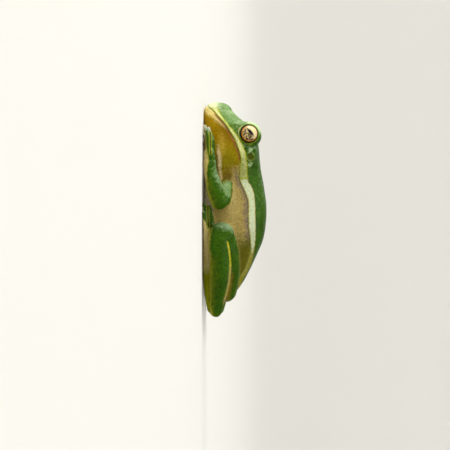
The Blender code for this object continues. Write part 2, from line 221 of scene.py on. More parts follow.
# the line of the closed mouth, seen from the side: back, up
mouthLine = [(0.0, 0.9), (1.2, 1.0), (2.3, 2.2), (3.8, 3.5), (5.8, 5.3), (7.8, 6.6), (10.4, 8.0),
             (12.4, 8.8), (14.4, 9.3), (16.0, 9.5)]
mouth = {
    "depth": 0.22,
    "width": 0.12,
    "lip": 0.12,  # how far the upper lip stands out, and how high over the line and how wide
    "lipRise": 0.42,
    "lipWidth": 0.26,
    "lowerLip": 0.06,
    "lowerLipDrop": 0.4,
    "lowerLipWidth": 0.3,
    "end": 14.3,
}

lids = {
    "opening": 62.5,  # degrees from the gaze to the lid's edge
    "edge": 0.22,  # how far the edge stands over the eyeball
    "fold": 0.1,  # the crease behind the edge
    "reach": 34,  # degrees over which the lid meets the head
    "blend": (3.4, 4.6),  # and mm from the eye's middle
    "hidden": 0.6,  # how far the skin inside the opening lies under the eyeball
}
nostril = {"place": (2.15, 1.8, 6.8), "radius": 0.24, "depth": 0.35, "rim": 0.12}
eardrum = {"place": (6.8, 14.2, 11.7), "radius": 1.2, "rim": 0.1, "depth": 0.08}

# the depths of the folds between two parts, and where they start or end behind the snout tip
folds = {
    "knee": 0.3,
    "elbow": 0.2,
    "armpit": 0.15,
    "groin": 0.3,
    "ankle": 0.25,
    "chest": 0.2,
    "sole": 0.2,
    "width": 0.3,
    "reach": 1.2,  # how far from the parts a fold is carved
    "kneeStart": (33.6, 36.0),
    "kneeSide": (8.5, 10.0),
    "kneeLineEnd": (38.0, 40.0),
    "elbowEnd": (22.5, 24.5),
    "ankleEnd": (51.0, 53.0),
}
# the fold across behind the throat with a ridge before it, and the ridge beside the forearm
neckFold = {"back": 17.4, "depth": 0.16, "width": 0.35, "under": (8.5, 9.6)}
neckRidge = {"back": 16.6, "height": 0.1, "width": 0.5}
armRidge = {"height": 0.2, "width": 0.5, "start": (12.0, 14.0), "end": (21.0, 23.0)}

# the edges of the markings, as seen level from the side: back, up
lipTop = [(0.0, 2.9), (1.3, 3.4), (2.6, 3.9), (4.4, 4.95), (6.2, 6.4), (8.0, 7.85), (9.8, 9.1),
          (11.6, 9.95), (13.4, 10.5), (15.3, 10.8), (17.1, 10.9)]
stripeTop = [(14.0, 10.7), (17.7, 11.0), (19.4, 11.05), (20.3, 11.2), (21.2, 11.75), (22.3, 12.3),
             (23.6, 12.65), (24.8, 12.8), (29.9, 12.95), (32.4, 13.0), (35.0, 12.95),
             (37.5, 12.6), (40.0, 12.05), (42.6, 11.05), (45.1, 9.55)]
stripeLow = [(15.4, 9.3), (17.7, 9.1), (19.4, 9.1), (20.4, 9.3), (21.2, 9.7), (22.3, 10.2),
             (23.6, 10.8), (24.8, 11.15), (28.9, 11.25), (32.4, 11.45), (35.0, 11.75),
             (37.5, 11.85), (40.0, 11.3), (42.6, 10.2), (45.1, 8.6)]
throatFold = [(12.0, 3.6), (14.7, 3.95), (17.7, 4.0), (19.7, 4.45), (21.5, 5.0)]
foldHalf = [(11.5, 0.2), (14.0, 0.55), (16.2, 0.5), (17.7, 0.35), (19.7, 0.3), (21.5, 0.15)]
armEdge = [(7.0, 0.3), (9.0, 0.6), (12.0, 0.8), (14.7, 1.25), (17.7, 0.9), (19.7, 0.9), (22.3, 1.2),
           (24.8, 1.9), (26.6, 2.7), (27.4, 3.2)]
shankEdge = [(29.0, 1.5), (47.0, 1.5), (51.0, 1.8), (54.0, 2.4)]
footEdge = [(28.8, -0.5), (29.7, 0.0), (31.2, 0.7), (32.4, 1.15), (35.0, 1.3), (38.0, 2.5),
            (40.0, 4.0)]
fingerGap = [(8.0, 1.65), (13.5, 1.75)]
toeGap = [(26.0, 1.0), (31.0, 1.2), (33.5, 1.5)]
kneeLine = [(33.8, 5.6), (36.2, 6.2), (39.8, 6.7), (43.9, 6.6), (47.2, 6.1), (50.2, 5.3)]

# the tips of the fingers: side, back, up
fingerTips = [(6.7, 10.7, 0.4), (7.3, 8.8, 0.4), (8.1, 7.3, 1.5), (9.5, 6.8, 0.6)]
# soft pale painted highlights on the throat's bulge and the flank's middle: back, seen height, half
# length, half height
paintedHighlights = {"throatBulgeHighlight": (11.4, 4.4, 4.5, 1.5), "flankMiddleHighlight": (25.5, 7.2, 8.0, 2.2)}
# the light dots before and behind the eardrum
earGlint = {"backs": (12.4, 16.0), "height": 11.7, "radius": 0.5}

# where the markings begin and end behind the snout tip, and half the width of the thin lines
marks = {
    "snout": 10.0,
    "snoutTip": 1.5,
    "browSheen": 8.2,
    "mouthLine": 15.0,
    "mouthLineHalf": 0.25,
    "lipBlend": (13.5, 16.5),  # here the lip's lower edge turns from the mouth to the stripe
    "lipRear": 14.0,
    "lipEnd": 19.6,
    "stripe": (19.3, 45.0),
    "stripeFade": 37.0,
    "stripeShade": (18.5, 36.0),
    "throatRear": 12.0,
    "throatEnd": 17.6,
    "throatFold": (11.5, 22.5),
    "flankStart": 15.4,
    "flankEnd": 46.0,
    "flankTop": 20.0,  # the flank reaches to the stripe's top behind this
    "rump": (42.0, 45.5),
    "rumpHalf": 2.6,
    "groin": 34.0,
    "armpit": (7.8, 18.6, 5.9),
    "armpitRadius": 1.5,
    "shoulder": 20.2,
    "armRear": 21.0,
    "legRear": 40.5,
    "ankle": (30.0, 50.0),
    "ankleReach": 0.3,
    "shin": (30.0, 43.0),
    "fingersEnd": 13.6,
    "toesEnd": 33.6,
    "digitGapHalf": 0.14,
    "digitEdgeHalf": 0.42,
    "kneeCrease": (35.2, 49.5),
    "kneeCreaseHalf": 0.2,
    "kneeCreaseRear": 42.0,
    "thighRear": 44.5,
    "discRadius": 0.8,
    "eardrumRimHalf": 0.16,
}


def sides(places):
    # the same points with both halves folded onto the left
    folded = places.copy()
    folded[:, 0] = np.abs(folded[:, 0])
    return folded


def seenHeight(places):
    # the height at which the camera sees each point of the left side
    side, _, up = sides(places).T
    return up - side * math.tan(math.radians(camera["elevation"]))


def mergedFlesh():
    whole = bmesh.new()
    for name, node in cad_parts.items():
        part = bmesh.new()
        part.from_mesh(node.data)
        bmesh.ops.remove_doubles(part, verts=part.verts, dist=0.001 * mm)
        part.normal_update()
        swell = skin["eyeBridge"] if name.startswith("eye") else skin["bridge"]
        for vert in part.verts:
            vert.co += vert.normal * swell * mm
        swollen = bpy.data.meshes.new(name + "Swollen")
        part.to_mesh(swollen)
        part.free()
        whole.from_mesh(swollen)
        bpy.data.meshes.remove(swollen)
    piece = pieceFrom(whole, "bodySkin")
    remesh = piece.modifiers.new("remesh", "REMESH")
    remesh.mode = "VOXEL"
    remesh.voxel_size = skin["spacing"] * mm
    applyModifiers(piece)
    return piece


groups = {
    "trunk": ("head", "lower_jaw", "torso", "eye"),
    "upperArm": ("upper_arm",),
    "forearm": ("forearm", "hand"),
    "thigh": ("thigh",),
    "shank": ("shank",),
    "foot": ("tarsus", "foot"),
}


def treeOf(wanted):
    corners, faces = [], []
    for name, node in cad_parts.items():
        if name.startswith(tuple(wanted)):
            start = len(corners)
            corners += [v.co.copy() for v in node.data.vertices]
            faces += [[start + i for i in face.vertices] for face in node.data.polygons]
    return BVHTree.FromPolygons(corners, faces)


def distances(mesh, wanted):
    # how far each point of the skin is from the named CAD nodes, in mm
    tree = treeOf(wanted)
    return np.array([tree.find_nearest(v.co)[3] for v in mesh.vertices]) / mm


def groupDistances(mesh):
    return {name: distances(mesh, wanted) for name, wanted in groups.items()}


def insideOf(away, *names):
    # positive nearer to the named groups than to the others, and 0 half way, in mm
    own = np.minimum.reduce([away[n] for n in names])
    other = np.minimum.reduce([away[n] for n in away if n not in names])
    return other - own


def averaged(mesh, values, times):
    # the values, each evened out with its neighbours' a few times
    ends = np.empty(len(mesh.edges) * 2, np.int32)
    mesh.edges.foreach_get("vertices", ends)
    one, other = ends.reshape(-1, 2).T
    count = np.bincount(ends, minlength=len(values))
    for _ in range(times):
        total = np.bincount(one, values[other], len(values))
        total += np.bincount(other, values[one], len(values))
        values = 0.5 * values + 0.5 * total / np.maximum(count, 1)
    return values


def refill(mesh):
    # smoothing makes thin parts thinner: what sank into the solids comes out again
    tree = treeOf([name for names in groups.values() for name in names if name != "eye"])
    places, normals = placesOf(mesh), normalsOf(mesh)
    nearest = np.array([tree.find_nearest(v.co)[0] for v in mesh.vertices])
    nearest = (nearest - snoutTip) / mm
    sunk = np.clip(np.sum((nearest - places) * normals, axis=1), 0.0, 0.5)
    setPlaces(mesh, places + normals * averaged(mesh, sunk, 3)[:, None])


def creases(places, away):
    # the folds between two parts: how far each point is across from the fold, in mm, and
    # how deep the fold is there
    side, back, _ = sides(places).T
    noFold = 9.0  # so far across that nothing is carved

    def across(one, other, depth):
        near = np.minimum(away[one], away[other]) < folds["reach"]
        return np.where(near, away[one] - away[other], noFold), depth

    # over the rounded knee the fold follows its own line, and further back the two parts
    depth = folds["knee"] * ramp(back, *folds["kneeStart"]) * ramp(side, *folds["kneeSide"])
    knee, depth = across("thigh", "shank", depth)
    ahead = 1 - ramp(back, *folds["kneeLineEnd"])
    line = curveAt(kneeLine, back) - seenHeight(places)
    knee = np.where(knee < noFold, knee * (1 - ahead) + line * ahead, noFold)
    elbow = folds["elbow"] * (1 - ramp(back, *folds["elbowEnd"]))
    ankle = folds["ankle"] * (1 - ramp(back, *folds["ankleEnd"]))
    return [
        (knee, depth),
        across("upperArm", "forearm", elbow),
        across("trunk", "upperArm", folds["armpit"]),
        across("trunk", "thigh", folds["groin"]),
        across("shank", "foot", ankle),
        across("trunk", "forearm", folds["chest"]),
        across("thigh", "foot", folds["sole"]),
    ]


def vertsWhere(bm, chosen):
    bm.verts.ensure_lookup_table()
    return [bm.verts[i] for i in np.flatnonzero(chosen)]


def refine(bm, chosen):
    inside = set(vertsWhere(bm, chosen))
    edges = [e for e in bm.edges if e.verts[0] in inside and e.verts[1] in inside]
    bmesh.ops.subdivide_edges(bm, edges=edges, cuts=1, use_grid_fill=True)


def eyeAngles(places):
    # how far each point is from the eye's middle, and its angle from the gaze, in degrees
    fromEye = sides(places) - np.array([eyeMiddle.x / mm, eyePlace["back"], eyeMiddle.z / mm])
    far = np.linalg.norm(fromEye, axis=1)
    gaze = np.array(Vector(eyePlace["lidGaze"]).normalized())
    return fromEye, far, np.degrees(np.arccos(np.clip(fromEye @ gaze / far, -1, 1)))


def carveLids(places):
    # pushes the skin under the eyeball inside the opening, and rounds the lid round it
    fromEye, far, angle = eyeAngles(places)
    edge = lids["opening"]
    hidden = eyeRadius - lids["hidden"]
    rim = eyeRadius + lids["edge"]
    hold = (1 - ramp(angle, edge + 8, edge + lids["reach"])) * (1 - ramp(far, *lids["blend"]))
    base = far + (rim - far) * hold
    base -= lids["fold"] * hump(angle - edge - 15, 4) * hold * (1 - ramp(far, 3.0, 3.5))
    wanted = hidden + (base - hidden) * ramp(angle, edge - 3, edge + 2)
    wanted = np.where(far < lids["blend"][1], wanted, far)
    shift = fromEye * (wanted / far)[:, None] - fromEye
    shift[:, 0] *= np.sign(places[:, 0])
    return places + shift


def mouthDistance(places):
    # over the mouth line is positive, square to the line
    back, up = places[:, 1], places[:, 2]
    slope = (curveAt(mouthLine, back + 0.1) - curveAt(mouthLine, back - 0.1)) / 0.2
    return (up - curveAt(mouthLine, back)) / np.sqrt(1 + slope**2)


def fromPoint(places, point):
    return np.linalg.norm(sides(places) - np.array(point), axis=1)


def carveFolds(places, normals, away):
    push = np.zeros(len(places))
    for across, depth in creases(places, away):
        push -= depth * hump(across, folds["width"])
    return places + normals * push[:, None]


def carveFace(places, normals, trunk):
    back, up = places[:, 1], places[:, 2]
    over = mouthDistance(places)
    push = -mouth["depth"] * hump(over, mouth["width"])
    push += mouth["lip"] * hump(over - mouth["lipRise"], mouth["lipWidth"])
    push += mouth["lowerLip"] * hump(over + mouth["lowerLipDrop"], mouth["lowerLipWidth"])
    push *= trunk * (1 - ramp(back, mouth["end"] - 1.0, mouth["end"] + 0.4))
    push *= 0.4 + 0.6 * ramp(back, 1.0, 4.0)  # the lips meet more softly in front

    away = fromPoint(places, nostril["place"])
    push -= nostril["depth"] * hump(away, nostril["radius"])
    push += nostril["rim"] * hump(away - nostril["radius"] * 1.9, 0.16)

    away = fromPoint(places, eardrum["place"])
    push += eardrum["rim"] * hump(away - eardrum["radius"], 0.14)
    push -= eardrum["depth"] * (1 - ramp(away, 0.9, 1.15))

    # the fold and ridge behind the throat, and the soft ridge beside the forearm
    low = trunk * (1 - ramp(up, *neckFold["under"]))
    push -= neckFold["depth"] * hump(back - neckFold["back"], neckFold["width"]) * low
    push += neckRidge["height"] * hump(back - neckRidge["back"], neckRidge["width"]) * low
    beside = ramp(back, *armRidge["start"]) * (1 - ramp(back, *armRidge["end"])) * trunk
    ridge = hump(up - curveAt(throatFold, back), armRidge["width"])
    push += armRidge["height"] * ridge * beside
    return places + normals * push[:, None]


def paint(mesh, name, values):
    mesh.attributes.new(name, "FLOAT", "POINT").data.foreach_set("value", values.astype(np.float32))


def allOf(*values):
    return np.minimum.reduce(values)


def span(back, ends, fadeIn, fadeOut):
    return np.minimum((back - ends[0]) * fadeIn, (ends[1] - back) * fadeOut)


def markings(mesh, away):
    # signed distances in mm, positive inside each marking, which the skin's material reads;
    # a distance that is multiplied by less than 1 lets the marking fade out softly that way
    places = placesOf(mesh)
    side, back, up = sides(places).T
    outward, backward, upward = normalsOf(mesh).T
    outward = outward * np.sign(places[:, 0])
    seen = seenHeight(places)
    trunk = insideOf(away, "trunk") * 2
    arm = insideOf(away, "upperArm", "forearm") * 2
    leg = insideOf(away, "thigh", "shank") * 2
    foot = insideOf(away, "foot") * 2
    limb = -trunk
    over = mouthDistance(places)
    lower = curveAt(stripeLow, back)
    upper = curveAt(stripeTop, back)
    # heights turned to distances along the skin, which is all but level on the back
    steep = np.clip(np.sqrt(np.maximum(0.0, 1 - upward**2)), 0.25, 1.0)

    line = marks["mouthLineHalf"] - np.abs(over + 0.12)
    line = allOf(trunk, line, marks["mouthLine"] - back, (back - 3.4) * 0.15)
    paint(mesh, "mouthLine", line)
    behind = ramp(back, *marks["lipBlend"])
    overLip = (over - 0.28) * (1 - behind) + (seen - lower) * behind
    underTop = (curveAt(lipTop, back) - seen) * 0.8
    lip = allOf(trunk, overLip, underTop, (marks["lipEnd"] - back) * 0.5)
    paint(mesh, "lipStripe", lip)
    paint(mesh, "lipRear", allOf(lip, (back - marks["lipRear"]) * 0.3))
    underTop = (upper - seen) / steep
    band = allOf(trunk, seen - lower, underTop, span(back, marks["stripe"], 0.5, 0.2))
    paint(mesh, "flankStripe", band)
    fade = allOf(underTop + 0.4, seen - lower + 0.3, (back - marks["stripeFade"]) * 0.3)
    paint(mesh, "stripeEnd", allOf(trunk, fade))
    throatEnd = marks["throatEnd"] - 0.45 * (up - 5.0) * (up > 5.0)
    throat = allOf(trunk, -over, (throatEnd - back) * 0.5)
    paint(mesh, "throat", throat)
    paint(mesh, "throatRear", allOf(throat, (back - marks["throatRear"]) * 0.3))
    # painted highlight low on the throat and painted shade along the jaw; the chin's edge slants
    # back
    paint(mesh, "throatLowHighlight", allOf(throat, (2.6 + 0.12 * back - seen) * 0.8))
    paint(mesh, "jawShade", allOf(throat, 1.2 + over))
    # the chin's pale cream: partly its own colour, partly a painted highlight
    paint(mesh, "chin", allOf(trunk, -over, 2.4 + 0.75 * seen - back))
    # the soft painted highlights
    for name, (middle, level, length, height) in paintedHighlights.items():
        within = 1 - np.hypot((back - middle) / length, (seen - level) / height)
        paint(mesh, name, np.minimum(trunk, within))
    # over the rump the green narrows to a band along the middle, and closes over the thighs
    rump = ramp(back, *marks["rump"])
    edge = np.where(back < marks["flankTop"], lower, upper - 0.1)
    beside = (1 - rump) * (edge - seen) / steep + rump * (side - marks["rumpHalf"])
    flankEnd = marks["flankEnd"] + 1.2 * np.maximum(0.0, 7.0 - up)
    beside = np.minimum(beside, (flankEnd - back) * 0.6)
    flank = allOf(trunk, beside, back - marks["flankStart"])
    paint(mesh, "flank", flank)
    paint(mesh, "groin", allOf(trunk, beside, (back - marks["groin"]) * 0.4))
    paint(mesh, "belly", allOf(trunk, (-upward - 0.55) * 2, back - 1.0))
    armpit = marks["armpitRadius"] - fromPoint(places, marks["armpit"])
    shoulder = allOf(insideOf(away, "upperArm") * 2, marks["shoulder"] - back)
    paint(mesh, "armpit", np.maximum(allOf(trunk, armpit), shoulder))
    shade = np.minimum(seen - lower + 1.1, lower + 0.2 - seen)
    shade = allOf(trunk, shade, span(back, marks["stripeShade"], 0.4, 0.2))
    paint(mesh, "stripeShade", shade)
    fold = curveAt(foldHalf, back) - np.abs(seen - curveAt(throatFold, back))
    paint(mesh, "throatFold", allOf(trunk, fold, span(back, marks["throatFold"], 0.3, 0.3)))

    # the pale skin of the limbs: under them, on their inner faces, and round the knee
    facing = np.maximum(allOf(-outward - 0.2, 0.3 - upward), -upward - 0.8)
    facing = np.maximum(facing, np.minimum(-0.1 - outward, -backward - 0.2))
    under = np.where(arm > 0, curveAt(armEdge, back), curveAt(shankEdge, back)) - seen
    under = np.where(foot > 0, curveAt(footEdge, back) - seen, under)
    under = allOf(limb, np.maximum(facing, under))
    paint(mesh, "under", under)
    rearFrom = np.where(arm > 0, marks["armRear"], marks["legRear"])
    paint(mesh, "underRear", np.minimum(under, (back - rearFrom) * 0.4))
    shade = marks["ankleReach"] - np.maximum(away["shank"], away["foot"])
    paint(mesh, "ankleShade", allOf(limb, shade, span(back, marks["ankle"], 0.5, 0.3)))
    paint(mesh, "shin", allOf(foot, under, span(back, marks["shin"], 0.4, 0.3)))
    # the line between the two outer digits of each hand and foot, its dark middle a painted shade
    # in the gap
    digits = np.where(arm > 0, curveAt(fingerGap, back), curveAt(toeGap, back)) - seen
    own = np.where(arm > 0, marks["fingersEnd"] - back, np.minimum(foot, marks["toesEnd"] - back))
    own = allOf(limb, own * 0.5, outward)
    paint(mesh, "digitGap", allOf(own, marks["digitGapHalf"] - np.abs(digits)))
    paint(mesh, "digitEdge", allOf(own, marks["digitEdgeHalf"] - np.abs(digits)))
    # painted sheen: the skin is made pale and frosted-looking where it faces the light ahead
    paint(mesh, "paintedSheen", (upward * 0.3 - backward * 0.9 - 0.5) * 3)
    overKnee = seen - curveAt(kneeLine, back)
    start, end = marks["kneeCrease"]
    crease = marks["kneeCreaseHalf"] - np.abs(overKnee + 0.05)
    crease = allOf(leg, crease, (back - start) * 0.4, outward * 2 - 0.2)
    paint(mesh, "kneeCrease", allOf(crease, (end - back) * 0.3))
    paint(mesh, "kneeCreaseRear", allOf(crease, (back - marks["kneeCreaseRear"]) * 0.4))
    rear = allOf(overKnee + 0.1, 0.8 - overKnee, (back - marks["thighRear"]) * 0.3)
    paint(mesh, "thighRear", allOf(leg, rear, side - 5.0))
    # the finger discs: their own paler colour with a painted highlight
    discs = [marks["discRadius"] - fromPoint(places, tip) for tip in fingerTips]
    paint(mesh, "disc", allOf(limb, np.max(discs, axis=0)))

    paint(mesh, "snout", allOf(trunk, (marks["snout"] - back) * 0.2))
    # painted highlight: the front of the snout made whitish, where it catches the light ahead
    tip = allOf(marks["snoutTip"] - back, (3.9 - seen) * 0.7, side - 0.8)
    paint(mesh, "snoutTip", allOf(trunk, over, tip))
    _, far, angle = eyeAngles(places)
    # painted sheen: the front and top of the lid over the eye made pale, as if lit from ahead
    paint(mesh, "browSheen", allOf(4.3 - far, seen - 10.8, (marks["browSheen"] - back) * 0.5))
    paint(mesh, "lidEdge", allOf(3.1 - far, (lids["opening"] + 5 - angle) * 0.05))
    shaded = lids["opening"] - 0.5 - 2.0 * ramp(seen, 11.0, 13.0) - angle
    paint(mesh, "lidShade", allOf(3.4 - far, shaded * 0.05))
    dots = [np.hypot(back - middle, seen - earGlint["height"]) for middle in earGlint["backs"]]
    paint(mesh, "earGlint", allOf(trunk, earGlint["radius"] - np.minimum(*dots)))
    fromEar = fromPoint(places, eardrum["place"])
    paint(mesh, "eardrum", eardrum["radius"] - fromEar)
    rim = marks["eardrumRimHalf"] - np.abs(fromEar - eardrum["radius"])
    paint(mesh, "eardrumRim", rim)
    # painted shade in the nostril's pit
    paint(mesh, "nostril", nostril["radius"] - fromPoint(places, nostril["place"]))
    # how granular the skin is: least on the green of the back, most on flank and belly
    paint(mesh, "granular", np.clip(0.7 + flank * 2, 0.7, 1.0))


# The colours of the skin, each layer over the ones before it: the marking, where its edge is,
# how soft and how ragged that edge is, in mm, its two colours, and how much of it shows
skinGreen = ("#1C3800", "#345A00")
skinLayers = [
    ("snout", 0.5, 0.6, 0.5, "#76964E", "#54782E", 0.7),
    # painted sheen where the skin faces the light ahead
    ("paintedSheen", 0.0, 0.7, 0.8, "#A0B490", "#5C7C44", 0.45),
    ("eardrum", 0.0, 0.4, 0.5, "#443800", "#343C00", 0.7),
    ("eardrumRim", 0.0, 0.2, 0.3, "#6A8430", "#446210", 0.45),
    ("earGlint", 0.0, 0.3, 0.4, "#A8BC8C", "#7E9860", 0.7),
    # painted sheen on the lid over the eye
    ("browSheen", 0.1, 0.5, 0.2, "#C4DCA8", "#A0BC7C", 0.8),
    ("flank", 0.0, 0.15, 0.4, "#9E8C4C", "#82703A", 1.0),
    # painted highlight on the middle of the flank
    ("flankMiddleHighlight", 0.4, 0.6, 0.3, "#B4A266", "#98864E", 0.7),
    ("stripeShade", 0.0, 0.6, 0.7, "#6A5654", "#544840", 0.7),
    ("groin", 0.3, 1.0, 0.5, "#565400", "#464600", 0.95),
    ("armpit", 0.0, 0.6, 0.4, "#6E5A00", "#524400", 0.9),
    ("belly", 0.0, 0.5, 0.3, "#C9C29A", "#B8AE80", 1.0),
    ("throat", 0.0, 0.3, 0.8, "#846600", "#745A00", 1.0),
    # painted highlight low on the throat, then painted shade along the jaw under the lip
    ("throatLowHighlight", 0.0, 1.3, 0.4, "#AA8A00", "#987800", 0.8),
    ("jawShade", 0.0, 0.9, 0.4, "#7A5400", "#6A4A00", 0.4),
    ("throatRear", 0.0, 0.9, 0.6, "#8A8000", "#706600", 0.8),
    # painted highlight on the throat's bulge
    ("throatBulgeHighlight", 0.4, 0.5, 0.2, "#B89C38", "#A48A28", 0.6),
    ("throatFold", 0.0, 0.3, 0.2, "#D0BA8A", "#B49C68", 0.9),
    # the chin: its own pale cream with a painted highlight over it
    ("chin", 0.1, 1.1, 0.35, "#EEE4A8", "#DCC45C", 0.95),
    ("flankStripe", -0.35, 0.16, 0.12, "#3A4240", "#344418", 0.7),
    ("flankStripe", -0.1, 0.1, 0.1, "#A08A24", "#7C7A18", 0.85),
    ("flankStripe", 0.1, 0.14, 0.12, "#BCC4A4", "#A2AA80", 1.0),
    ("stripeEnd", 0.2, 0.6, 0.3, "#847E18", "#6A6606", 1.0),
    ("lipStripe", -0.05, 0.12, 0.12, "#A4A420", "#86941A", 1.0),
    ("lipStripe", 0.16, 0.14, 0.12, "#C4C68C", "#A8AC66", 1.0),
    ("lipRear", 0.1, 0.8, 0.4, "#767C38", "#666E26", 0.8),
    # painted highlight on the front of the snout
    ("snoutTip", 0.0, 0.6, 0.5, "#DCE2C0", "#B8C290", 0.65),
    ("mouthLine", 0.0, 0.15, 0.1, "#6E3A1C", "#7A4C1C", 0.85),
    ("under", 0.0, 0.2, 0.12, "#A49A3C", "#848022", 1.0),
    ("under", 0.25, 0.3, 0.15, "#B4A468", "#988650", 1.0),
    ("underRear", 0.0, 0.9, 0.3, "#6C7402", "#7C7E08", 1.0),
    ("shin", 0.1, 0.5, 0.2, "#C4B47C", "#AE9E60", 0.8),
    ("ankleShade", 0.0, 0.2, 0.1, "#241C0C", "#342812", 0.7),
    ("digitEdge", 0.0, 0.16, 0.1, "#8C8C20", "#6C7A10", 0.8),
    # painted shade in the gap between the digits
    ("digitGap", 0.0, 0.1, 0.04, "#1A2008", "#1E1808", 0.9),
    ("thighRear", 0.0, 0.6, 0.3, "#8A6418", "#6E5A10", 0.7),
    ("kneeCrease", 0.0, 0.12, 0.06, "#C8B830", "#B0A020", 0.95),
    ("kneeCreaseRear", 0.0, 0.5, 0.1, "#94865A", "#7C6E38", 0.9),
    # the finger discs, partly a painted highlight
    ("disc", 0.0, 0.35, 0.15, "#C9CABE", "#9EA08C", 0.75),
    # painted shade in the nostril's pit
    ("nostril", 0.0, 0.1, 0.02, "#141004", "#1C1608", 0.9),
    ("lidEdge", 0.0, 0.12, 0.08, "#7C8A14", "#5E7208", 0.7),
    ("lidShade", 0.0, 0.1, 0.02, "#100A06", "#100A06", 1.0),
]


def skinMaterial():
    # living frog skin: moist and finely granular, with a thin wet film that breaks the
    # light into many small highlights over soft colour
    material, tree, shader = newMaterial("moistFrogSkin")
    where = addNode(tree, "TexCoord").outputs["Object"]
    perMm = 1 / mm
    blotches = noise(tree, where, 0.35 * perMm, 3.0)
    ragged = noise(tree, where, 1.4 * perMm, 3.0)
    speckle = noise(tree, where, 3.0 * perMm, 2.0)
    # granules of 0.35 mm with finer ones of 0.15 mm over them
    granules, fine = cells(tree, where, 2.8 * perMm), cells(tree, where, 6.5 * perMm)
    grain = mapped(tree, maths(tree, "MULTIPLY_ADD", blotches, 0.5, speckle), 0.55, 0.95)

    colour = mixed(tree, grain, linear(skinGreen[0]), linear(skinGreen[1]))
    for name, edge, soft, rough, first, second, amount in skinLayers:
        value = addNode(tree, "Attribute", attribute_name=name).outputs["Fac"]
        wobble = maths(tree, "MULTIPLY_ADD", ragged, 4 * rough, -2 * rough)
        value = maths(tree, "ADD", value, wobble)
        mask = eased(tree, value, edge - soft, edge + soft, 0.0, amount)
        own = mixed(tree, grain, linear(first), linear(second))
        colour = mixed(tree, mask, colour, own)

    # painted light and shade: the granules lighter at their peaks and darker in the furrows between
    # them
    granules = maths(tree, "MULTIPLY_ADD", fine, 0.4, granules)
    granuleShading = mapped(tree, granules, 0.2, 1.0, 1.12, 0.88)
    colour = addNode(
        tree, "VectorMath", {0: colour, "Scale": granuleShading}, operation="SCALE"
    ).outputs["Vector"]
    height = maths(tree, "MULTIPLY_ADD", granules, -1.0, speckle)
    granular = addNode(tree, "Attribute", attribute_name="granular").outputs["Fac"]
    bump = addNode(
        tree, "Bump", {"Strength": granular, "Distance": 0.12 * mm, "Height": height}
    ).outputs[0]
    tree.links.new(colour, shader.inputs["Base Color"])
    tree.links.new(bump, shader.inputs["Normal"])
    shader.inputs["Roughness"].default_value = 0.45
    shader.inputs["IOR"].default_value = 1.4
    shader.inputs["Specular IOR Level"].default_value = 0.07
    shader.inputs["Specular Tint"].default_value = linear("#F2FFA8")
    shader.inputs["Subsurface Weight"].default_value = 0.06
    shader.inputs["Subsurface Radius"].default_value = (0.8, 0.5, 0.2)
    shader.inputs["Subsurface Scale"].default_value = 0.6 * mm
    shader.inputs["Coat Weight"].default_value = 0.08
    shader.inputs["Coat Roughness"].default_value = 0.25
    return material


def makeSkin():
    piece = mergedFlesh()
    away = groupDistances(piece.data)
    places = placesOf(piece.data)
    back = places[:, 1]
    digit = (insideOf(away, "forearm") > 0) & (back < skin["fingersEnd"])
    digit |= (insideOf(away, "foot") > 0) & (back < skin["toesEnd"])
    trunk = insideOf(away, "trunk") > 0
    knee = (back > skin["knee"][0]) & (back < skin["knee"][1])
    knee &= np.maximum(away["thigh"], away["shank"]) < skin["kneeReach"]
    bm = bmesh.new()
    bm.from_mesh(piece.data)
    for kind, chosen in (
        ("trunk", trunk), ("limb", ~trunk & ~digit), ("digit", digit), ("knee", knee)
    ):
        smooth(bm, vertsWhere(bm, chosen), skin["smoothing"][kind])
    bm.normal_update()
    for vert in bm.verts:
        vert.co -= vert.normal * skin["bridge"] * mm
    refine(bm, digit | (back < skin["fineEnd"]))
    bm.normal_update()
    bm.to_mesh(piece.data)
    bm.free()
    refill(piece.data)

    # finer still round the eyes, the mouth, the nostrils and the eardrums
    places = placesOf(piece.data)
    side, back, _ = sides(places).T
    _, far, angle = eyeAngles(places)
    low, high = skin["fineLids"]
    small = (far < skin["fineEye"]) & (angle > low) & (angle < high)
    lips = (side < skin["fineMouthSide"]) & (back < skin["fineMouthEnd"])
    small |= lips & (np.abs(mouthDistance(places)) < skin["fineMouth"])
    small |= fromPoint(places, nostril["place"]) < skin["fineNostril"]
    small |= fromPoint(places, eardrum["place"]) < skin["fineEardrum"]
    bm = bmesh.new()
    bm.from_mesh(piece.data)
    smooth(bm, vertsWhere(bm, back < skin["fineEnd"]), 1)
    refine(bm, small)
    bm.to_mesh(piece.data)
    bm.free()

    away = groupDistances(piece.data)
    onTrunk = ramp(insideOf(away, "trunk"), -0.3, 0.3)
    places = carveFolds(placesOf(piece.data), normalsOf(piece.data), away)
    places = carveFace(places, normalsOf(piece.data), onTrunk)
    places = carveLids(places)
    places[:, 2] = np.maximum(places[:, 2], 0.0)
    setPlaces(piece.data, places)
    markings(piece.data, away)
    piece.data.shade_smooth()
    piece.data.materials.clear()
    piece.data.materials.append(skinMaterial())
    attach(piece, "root")
    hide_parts(*[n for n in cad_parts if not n.startswith("eye")])
    triangles = sum(len(face.vertices) - 2 for face in piece.data.polygons)
    print("skin:", triangles, "triangles")
    return piece


# The eyes

# the pupil is a flat ellipse with a fine point that runs on to the front: the middle along the
# slit, the half length and the half width of each, in mm
eye = {
    "segments": 96,
    "rings": 64,
    "bulge": 0.1,
    "irisRadius": 2.06,
    "pupilRise": 0.3,
    "pupil": (-0.08, 1.0, 0.35),
    "pupilPoint": (-0.75, 1.0, 0.1),
}
eyeColours = {
    "iris": ("#DAD09E", "#AE945A"),
    "lowerIris": "#B89E66",
    "mottles": "#1C180C",
    "veins": "#4E3818",
    "ring": "#C67C1C",
    "rim": "#04060A",
    "pupilEdge": "#7A5A30",
    "pupil": "#040303",
}


